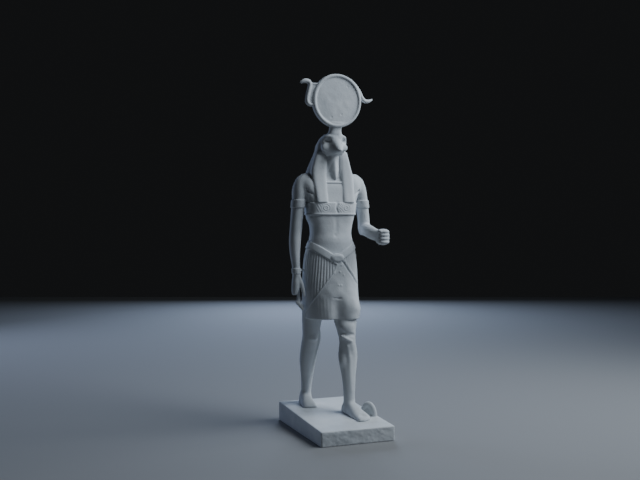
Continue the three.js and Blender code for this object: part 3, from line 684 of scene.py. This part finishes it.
def build_arms(field):
    field.join(bar(LEFT_FOREARM, cap=2.0), 1.6)
    field.join(column(RIGHT_FOREARM, cap=1.0), 0.5)
    for rows in (UPPER_ARM, RIGHT_UPPER_ARM):
        arm = column(rows, squareness=2.1)
        field.join(ring(arm, *ARMBAND, BAND_PROUD), 0.3)
    field.join(ring(column(RIGHT_FOREARM), *WRISTBAND, BAND_PROUD), 0.3)

    # The left hand, a plain fist
    x, y, z = LEFT_FIST
    field.join(bar([
        (y - 4.2, x, z, 3.8, 5.4, 5.4),
        (y - 1.6, x, z, 4.9, 6.5, 6.5),
        (y + 3.2, x, z, 4.9, 6.4, 6.4),
        (y + 7, x, z, 4.3, 5, 5),
    ], squareness=2.7, cap=1.6), 1.0)
    for i in range(4):
        field.join(ball((x - 0.3, y - 2.6, z + 4.4 - 2.9 * i), (4.6, 3.2, 1.75)), 1.3)
    field.join(ball((x - 3.2, y - 1.2, z + 4.4), (2.1, 4.2, 1.9), turn=-12), 0.8)
    field.cut(tube([(x - 5.6, y + 2.2, z + 2.4, 0.5), (x - 5.5, y + 1.6, z - 4.6, 0.5)]), 0.6)

    # The right hand hangs half open round a worn rod, whose lower end is broken at a slant.
    x, y, z = RIGHT_HAND
    field.join(column([
        (z - 9.2, x - 2.6, y + 1, 1.7, 2.6, 2.6),
        (z - 5, x - 1.9, y + 0.8, 2.9, 4, 3.8),
        (z + 1, x - 0.9, y + 0.6, 3.9, 4.4, 4.2),
        (z + 5, x - 0.6, y + 0.7, 3.6, 4, 4),
        (z + 8.4, x - 0.6, y + 0.8, 2.9, 3.7, 3.6),
    ], squareness=2.2, cap=1.4), 1.2)
    field.join(tube([
        (x + 0.9, y - 1.6, z + 5.5, 1.7),
        (x + 2.8, y - 2.8, z - 0.5, 1.8),
        (x + 4.0, y - 3.2, z - 6, 1.5),
        (x + 4.7, y - 3.4, z - 9.6, 0.9),
    ]), 0.7)
    for i in range(3):
        field.cut(tube([
            (x - 5.4 + 0.5 * i, y - 2.6 + 2.4 * i, z + 0.5, 0.35),
            (x - 3.8 + 0.4 * i, y - 2.0 + 2.4 * i, z - 8, 0.35),
        ]), 0.5)
    field.join(tube([
        (x + 0.6, y + 0.4, z - 3, 1.3, 1.2),
        (x + 0.9, y + 0.2, z - 10, 1.4, 1.3),
        (x + 1.0, y + 0.0, z - 14.6, 1.7, 1.9),
    ], normal=(1, 0, 0)), 0.5)
    field.join(tube([
        (x - 0.4, y - 0.2, z - 15.4, 1.5, 1.6),
        (x + 2.2, y - 0.2, z - 17.6, 1.9, 1.9),
        (x + 4.4, y - 0.2, z - 20.8, 1.5, 1.3),
    ]), 0.5)
    field.join(tube([(x, y + 0.6, z + 12, 1.0), (x + 7, y + 0.6, z + 12, 0.9)]), 0.6)


def build_foot(field, rows):
    on_plinth = [(y, x, plinth_top(y), half, up, down) for y, x, half, up, down in rows]
    field.join(bar(on_plinth, squareness=2.7, cap=0.8), 2.2)


def build_legs(field):
    build_foot(field, LEFT_FOOT)
    build_foot(field, RIGHT_FOOT)
    field.join(ball((15.9, -3.4, plinth_top(0) + 11.2), (1.4, 1.9, 2.0)), 1.6)
    field.cut(tube([(13.4, -14.8, 23.2, 0.4), (13.7, -17.2, 21.8, 0.7), (14.0, -19.4, 20.8, 0.4)]), 0.6)
    field.cut(ball((14.2, -28.6, 17.6), (3.2, 3.4, 1.3)), 1.2)
    # Forward knee: a deep fold above, a slanting ridge across the cap, and the shin below
    field.cut(tube([
        (1.0, -6.6, 84.6, 0.9), (4.6, -9.4, 83.0, 1.6), (9.2, -10.8, 81.8, 1.7), (14.0, -9.6, 81.4, 1.0),
    ]), 1.5)
    field.join(ball((8.6, -7.2, 88.4), (5.6, 3.4, 4.4)), 2.4)
    field.join(tube([(3.6, -7.6, 80.6, 0.8), (7.4, -9.7, 78.2, 1.2), (11.4, -9.9, 76.2, 1.0)]), 1.6)
    field.join(ball((11.6, -7.6, 72.6), (3.2, 2.2, 4.2)), 1.6)
    field.join(tube([(8.6, -9.0, 71.8, 0.7), (10.0, -7.9, 66.4, 0.9), (10.6, -6.4, 60.0, 0.7)]), 2.0)
    field.join(tube([(11.4, -6.6, 62, 1.2), (11.6, -6.4, 50, 1.2), (12.2, -7.4, 34, 0.8)]), 2.0)
    field.join(ball((6.4, -3.6, 60.5), (2.6, 3.0, 6.5)), 2.0)
    # Rear knee, with its inner ridge
    field.join(ball((-12.0, 17.0, 77.4), (3.2, 2.0, 3.4)), 2.0)
    field.join(tube([
        (-6.2, 18.6, 82.0, 1.0), (-6.1, 19.7, 77.0, 1.5), (-6.3, 22.2, 70.0, 1.4),
        (-7.4, 26.0, 60.0, 1.2), (-9.0, 31.2, 46.0, 0.9),
    ]), 1.0)


# Head, wig and crown
def build_head(field):
    for rows in (LAPPET, RIGHT_LAPPET):
        field.join(column(rows, squareness=3.6, cap=0.9), 0.35)
    wig = column(WIG, cap=2.0)
    face = column(FACE, squareness=2.0, cap=1.2)
    hood = Field(*HEAD_BLOCK, field.voxel)
    hood.join(wig, 0)
    hood.cut(column(WIG_OPENING, squareness=5, cap=0.5), 0.6)
    hood.cut(ring(face, *FACE_OPENING, 0.25, 1.0), 0.9)
    field.absorb(hood, HEAD_BLOCK, 0.5)
    field.join(face, 0.5)
    field.join(column(BEAK, squareness=1.9, cap=0.8), 3.0)
    for side in (-1, 1):
        # Eye socket under a soft brow, the eye, and the nostril
        field.cut(ball((side * 8.6, -3.9, 244.6), (3.8, 2.6, 2.4)), 1.6)
        field.join(tube([
            (side * 3.0, -4.2, 247.6, 0.9), (side * 6.0, -3.6, 248.4, 1.1), (side * 8.6, -2.0, 247.4, 1.2),
            (side * 9.9, 0.6, 245.0, 1.1), (side * 10.2, 1.6, 242.6, 0.8),
        ]), 1.6)
        field.join(ball((side * 8.7, -1.4, 239.0), (2.7, 1.5, 2.6)), 2.0)
        field.cut(tube([(side * 3.2, -7.0, 242.2, 0.35), (side * 4.8, -5.6, 242.0, 0.3)]), 0.5)
    field.join(column(THROAT, squareness=1.5, cap=0.8), 0.4)
    field.join(column(STEM, squareness=2.7, cap=0.5), 1.6)


def build_disc(field):
    cx, cy, cz = DISC_CENTRE
    t = DISC_HALF_THICKNESS

    def at(x, y, z):
        r = np.sqrt(((x - cx) / DISC_WIDTH_RATIO) ** 2 + (z - cz) ** 2)
        rim = smooth_max(r - DISC_RADIUS + 0 * y, np.abs(y - cy) - t + 0 * r, 1.6)
        crown = DISC_CROWN * np.clip(1 - (r / (DISC_RADIUS - DISC_RIM_WIDTH)) ** 2, 0, 1)
        floor_depth = (y - cy) + t - DISC_RECESS + crown
        bowl = smooth_max(r - (DISC_RADIUS - DISC_RIM_WIDTH) + 0 * y, floor_depth, 1.0)
        pits = 0.13 * lattice_noise(x, 0 * y, z, 4.5, 11)
        for pit_x, pit_z, size in DISC_PITS:
            ring = np.sqrt((x - cx - pit_x) ** 2 + (z - cz - pit_z) ** 2)
            pits = pits + 0.22 * smoothstep(size, size * 0.4, ring)
        return (smooth_max(rim, -bowl, 1.1) + pits * (y < cy - 1) * (r < 18.5)).astype(np.float32)

    reach = DISC_RADIUS
    field.join(Shape(((cx - reach, cy - t, cz - reach), (cx + reach, cy + t, cz + reach)), at), 0.7)

    # The serpent: it rears at the god's right, and its tail flicks out at the left.
    across = (0, 1, 0)
    field.join(tube([
        (cx - 20.6, cy, cz - 3.9, 1.4, 1.8),
        (cx - 23.6, cy, cz - 4.0, 1.5, 1.9),
        (cx - 25.9, cy, cz - 2.4, 1.7, 2),
        (cx - 26.2, cy, cz + 1.0, 1.7, 2),
        (cx - 25.4, cy, cz + 5.0, 1.7, 2),
        (cx - 24.4, cy, cz + 9.2, 1.7, 2),
        (cx - 23.8, cy, cz + 12.4, 1.7, 2),
        (cx - 24.6, cy, cz + 14.6, 1.9, 2),
        (cx - 27.6, cy, cz + 15.4, 1.95, 2),
        (cx - 30.0, cy, cz + 14.8, 1.5, 1.6),
        (cx - 31.6, cy, cz + 14.0, 0.9, 1.0),
    ], normal=across), 0.5)

    def web(x, y, z):
        heights = [-4.4, -2.4, 1, 5, 9, 13]
        left = np.interp(z.reshape(-1) - cz, heights, [-20, -25.2, -25.8, -25, -24, -23.4])
        inside = np.maximum(cx + left[None, None, :] - x, x - cx + 15)
        ends = np.maximum(cz - 4.6 - z, z - cz - 13.6)
        return smooth_max(np.maximum(inside, ends) + 0 * y, np.abs(y - cy) - 0.9 + 0 * x + 0 * z, 0.5)

    field.join(Shape(((cx - 27, cy - 1, cz - 6), (cx - 15, cy + 1, cz + 15)), web), 0.7)
    field.join(tube([
        (cx - 22.8, cy, cz + 13.2, 0.9, 1.4),
        (cx - 17.0, cy, cz + 13.2, 0.9, 1.5),
    ], normal=across), 0.5)
    field.join(tube([
        (cx + 9, cy, cz + 19.6, 1.0, 2),
        (cx + 13, cy, cz + 17.2, 1.4, 2),
        (cx + 17.2, cy, cz + 12.9, 1.7, 2.1),
        (cx + 20.4, cy, cz + 8.4, 1.8, 2.1),
        (cx + 22.4, cy, cz + 4.6, 1.8, 2),
        (cx + 24.4, cy, cz + 2.0, 1.75, 1.8),
        (cx + 27.0, cy, cz + 0.9, 1.65, 1.6),
        (cx + 29.8, cy, cz + 1.4, 1.3, 1.3),
        (cx + 32.2, cy, cz + 2.5, 0.8, 0.8),
    ], normal=across), 0.5)


def build_figure():
    field = Field((-40, -44, 12), (40, 52, 303), VOXEL)
    build_body(field)
    build_arms(field)
    build_legs(field)
    build_head(field)
    build_disc(field)

    # The soles are flat, just clear of the sloping top of the plinth.
    x = (field.low[0] + field.voxel * np.arange(field.count[0]))[:, None, None]
    y = (field.low[1] + field.voxel * np.arange(field.count[1]))[None, :, None]
    z = (field.low[2] + field.voxel * np.arange(field.count[2]))[None, None, :SOLE_LAYERS]
    ground = (plinth_top(y) + SOLE_GAP - z + 0 * x).astype(np.float32)
    field.d[:, :, :SOLE_LAYERS] = np.maximum(field.d[:, :, :SOLE_LAYERS], ground)
    return field


# Plinth with its arched lug
def build_plinth():
    field = Field((-33, -54, -1), (33, 54, 26), VOXEL)
    half_width, half_length = PLINTH_WIDTH / 2, PLINTH_LENGTH / 2

    def slab(x, y, z):
        side = smooth_max(np.abs(x) - half_width + 0 * y, np.abs(y) - half_length + 0 * x, 1.4)
        top = z - plinth_top(y)
        worn = 0.4 * lattice_noise(x, y, z, 5.0, 3) + 0.25 * lattice_noise(x, y, z, 1.9, 4)
        edge = bell(z - plinth_top(y), 1.8)
        front = smoothstep(-50, -53, y)
        chips = smoothstep(0.25, 0.6, lattice_noise(x, 0 * y, z, 7.0, 8)) * edge * front
        side = side + np.maximum(worn, 0) * (0.3 + 0.6 * edge * front)
        side = side + 0.45 * front * (worn + 0.65) + 0.9 * chips
        return smooth_max(smooth_max(side, top + 0 * x, 1.0), -z + 0 * side, 0.7).astype(np.float32)

    field.join(Shape(((-half_width, -half_length, 0), (half_width, half_length, 17)), slab), 0)

    facing = math.radians(LUG_FACING)
    n = np.array([math.sin(facing), -math.cos(facing), 0])
    a = np.array([math.cos(facing), math.sin(facing), 0])
    cx, cy = LUG_CENTRE
    cz = plinth_top(cy) - LUG_SINK
    half, height = LUG_HALF, LUG_HEIGHT
    arch = []
    for i in range(LUG_STEPS + 1):
        angle = math.pi * i / LUG_STEPS
        s, h = half * math.cos(angle), height * math.sin(angle)
        arch.append((cx + a[0] * s, cy + a[1] * s, cz + h, *LUG_RIM))
    field.join(tube(arch, normal=n, samples=2), 0.6)

    def web(x, y, z):
        s = (x - cx) * a[0] + (y - cy) * a[1]
        t = (x - cx) * n[0] + (y - cy) * n[1]
        round_top = (np.sqrt((s / half) ** 2 + ((z - cz) / height) ** 2) - 1) * half
        outline = np.maximum(round_top, cz - 2 - z)
        return smooth_max(outline, np.abs(t) - LUG_WEB + 0 * z, 0.3).astype(np.float32)

    field.join(Shape(((18, -23, cz - 2), (31, -10, cz + 11)), web), 0.5)
    return field


def drop_specks(mesh):
    """Leaves only the largest connected surface of a mesh."""
    shape = bmesh.new()
    shape.from_mesh(mesh)
    left = set(shape.verts)
    islands = []
    while left:
        frontier = [left.pop()]
        island = list(frontier)
        while frontier:
            vertex = frontier.pop()
            for edge in vertex.link_edges:
                other = edge.other_vert(vertex)
                if other in left:
                    left.remove(other)
                    frontier.append(other)
                    island.append(other)
        islands.append(island)
    islands.sort(key=len)
    for island in islands[:-1]:
        bmesh.ops.delete(shape, geom=island, context="VERTS")
    shape.to_mesh(mesh)
    shape.free()


def to_object(field, name, faces):
    points, quads = field.mesh()
    mesh = bpy.data.meshes.new(name)
    mesh.from_pydata((points * MM).tolist(), [], quads.tolist())
    mesh.validate()
    piece = bpy.data.objects.new(name, mesh)
    bpy.context.scene.collection.objects.link(piece)
    triangles = 2 * len(quads)
    if triangles > faces:
        modifier = piece.modifiers.new("fewer faces", "DECIMATE")
        modifier.ratio = faces / triangles
        graph = bpy.context.evaluated_depsgraph_get()
        smaller = bpy.data.meshes.new_from_object(piece.evaluated_get(graph))
        piece.modifiers.clear()
        piece.data = smaller
    drop_specks(piece.data)
    piece.data.shade_smooth()
    return piece


# Plaster: noise scales per metre, and the two ends of its colour and of its roughness
CLOUD_SCALE = 45
GRAIN_SCALE = 180
BUMP_SCALE = 420
PLASTER_DARK = (0.57, 0.60, 0.63)
PLASTER_PALE = (0.73, 0.75, 0.77)
SMOOTHER = (0.72, 0.72, 0.72)
ROUGHER = (0.9, 0.9, 0.9)
BUMP_HEIGHT = 0.0006
FLOOR_COLOUR = (0.25, 0.25, 0.255, 1)


def plaster_material():
    material = bpy.data.materials.new("cast plaster")
    material.use_nodes = True
    nodes = material.node_tree.nodes
    links = material.node_tree.links
    shader = nodes["Principled BSDF"]
    place = nodes.new("ShaderNodeTexCoord")

    def noise(scale, detail=4.0, roughness=0.55):
        n = nodes.new("ShaderNodeTexNoise")
        n.inputs["Scale"].default_value = scale
        n.inputs["Detail"].default_value = detail
        n.inputs["Roughness"].default_value = roughness
        links.new(place.outputs["Object"], n.inputs["Vector"])
        return n.outputs["Fac"]

    def ramp(source, stops):
        r = nodes.new("ShaderNodeValToRGB")
        r.color_ramp.elements[0].position = stops[0][0]
        r.color_ramp.elements[0].color = (*stops[0][1], 1)
        r.color_ramp.elements[1].position = stops[-1][0]
        r.color_ramp.elements[1].color = (*stops[-1][1], 1)
        links.new(source, r.inputs["Fac"])
        return r.outputs["Color"]

    cloud = ramp(noise(CLOUD_SCALE, 5.0), [(0.3, PLASTER_DARK), (0.72, PLASTER_PALE)])
    links.new(cloud, shader.inputs["Base Color"])
    rough = ramp(noise(GRAIN_SCALE, 3.0), [(0.3, SMOOTHER), (0.7, ROUGHER)])
    links.new(rough, shader.inputs["Roughness"])
    shader.inputs["Specular IOR Level"].default_value = 0.35
    bump = nodes.new("ShaderNodeBump")
    bump.inputs["Strength"].default_value = 0.25
    bump.inputs["Distance"].default_value = BUMP_HEIGHT
    links.new(noise(BUMP_SCALE, 6.0, 0.62), bump.inputs["Height"])
    links.new(bump.outputs["Normal"], shader.inputs["Normal"])
    return material


def floor_material():
    material = bpy.data.materials.new("studio floor")
    material.use_nodes = True
    shader = material.node_tree.nodes["Principled BSDF"]
    shader.inputs["Base Color"].default_value = FLOOR_COLOUR
    shader.inputs["Roughness"].default_value = 0.9
    return material


plaster = plaster_material()
figure = to_object(build_figure(), "figure_surface", FIGURE_FACES)
plinth = to_object(build_plinth(), "plinth_surface", PLINTH_FACES)
for piece, node in ((figure, "figure"), (plinth, "plinth")):
    piece.data.materials.clear()
    piece.data.materials.append(plaster)
    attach(piece, "root")
    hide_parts(node)

# Camera at the photograph's angle, towards the figure's right from its front and a little above
CAMERA_AZIMUTH = math.radians(-21.0)
CAMERA_ELEVATION = math.radians(1.3)
CAMERA_PLACE = Vector((-0.2805, -0.6973, 0.1783))
CAMERA_LENS = 50
camera = bpy.data.objects.new("camera", bpy.data.cameras.new("camera"))
camera.data.lens = CAMERA_LENS
camera.data.sensor_width = 36
camera.location = CAMERA_PLACE
backwards = Vector((
    math.sin(CAMERA_AZIMUTH) * math.cos(CAMERA_ELEVATION),
    -math.cos(CAMERA_AZIMUTH) * math.cos(CAMERA_ELEVATION),
    math.sin(CAMERA_ELEVATION),
))
camera.rotation_euler = (-backwards).to_track_quat("-Z", "Y").to_euler()
bpy.context.scene.collection.objects.link(camera)
bpy.context.scene.camera = camera

# Floor, which ends behind the figure, where the dark begins
FLOOR_REACH = 6.0
FLOOR_BEHIND = 1.3
floor_mesh = bpy.data.meshes.new("floor")
onwards = Vector((-math.sin(CAMERA_AZIMUTH), math.cos(CAMERA_AZIMUTH), 0))
sideways = Vector((onwards.y, -onwards.x, 0))
floor_mesh.from_pydata(
    [
        onwards * along + sideways * across
        for along, across in (
            (-FLOOR_REACH, -FLOOR_REACH), (-FLOOR_REACH, FLOOR_REACH),
            (FLOOR_BEHIND, FLOOR_REACH), (FLOOR_BEHIND, -FLOOR_REACH),
        )
    ],
    [], [(0, 1, 2, 3)],
)
floor = bpy.data.objects.new("floor", floor_mesh)
floor.data.materials.append(floor_material())
bpy.context.scene.collection.objects.link(floor)


# Lights: name, place, point they face, size, power and colour
LIGHTS = (
    ("key", (0.345, -0.242, 0.614), (0, 0, 0.24), 0.42, 3.7, (0.82, 0.91, 1.0)),
    ("side", (0.529, -0.046, 0.402), (0, 0, 0.22), 0.3, 1.0, (0.86, 0.95, 1.0)),
    ("back", (0.391, 1.075, 0.393), (0, 0, 0.15), 0.45, 5.2, (0.58, 0.73, 1.0)),
    ("rim", (-0.44, 0.76, 0.34), (0, 0, 0.18), 0.3, 1.4, (0.56, 0.69, 1.0)),
)
WORLD_COLOUR = (0.55, 0.58, 0.62, 1)
WORLD_STRENGTH = 0.014


def area_light(name, place, target, size, power, colour):
    data = bpy.data.lights.new(name, "AREA")
    data.shape = "DISK"
    data.size = size
    data.energy = power
    data.color = colour
    lamp = bpy.data.objects.new(name, data)
    lamp.location = place
    lamp.rotation_euler = (Vector(target) - Vector(place)).to_track_quat("-Z", "Y").to_euler()
    bpy.context.scene.collection.objects.link(lamp)


for light in LIGHTS:
    area_light(*light)
world = bpy.data.worlds.new("studio")
world.use_nodes = True
world.node_tree.nodes["Background"].inputs["Color"].default_value = WORLD_COLOUR
world.node_tree.nodes["Background"].inputs["Strength"].default_value = WORLD_STRENGTH
bpy.context.scene.world = world
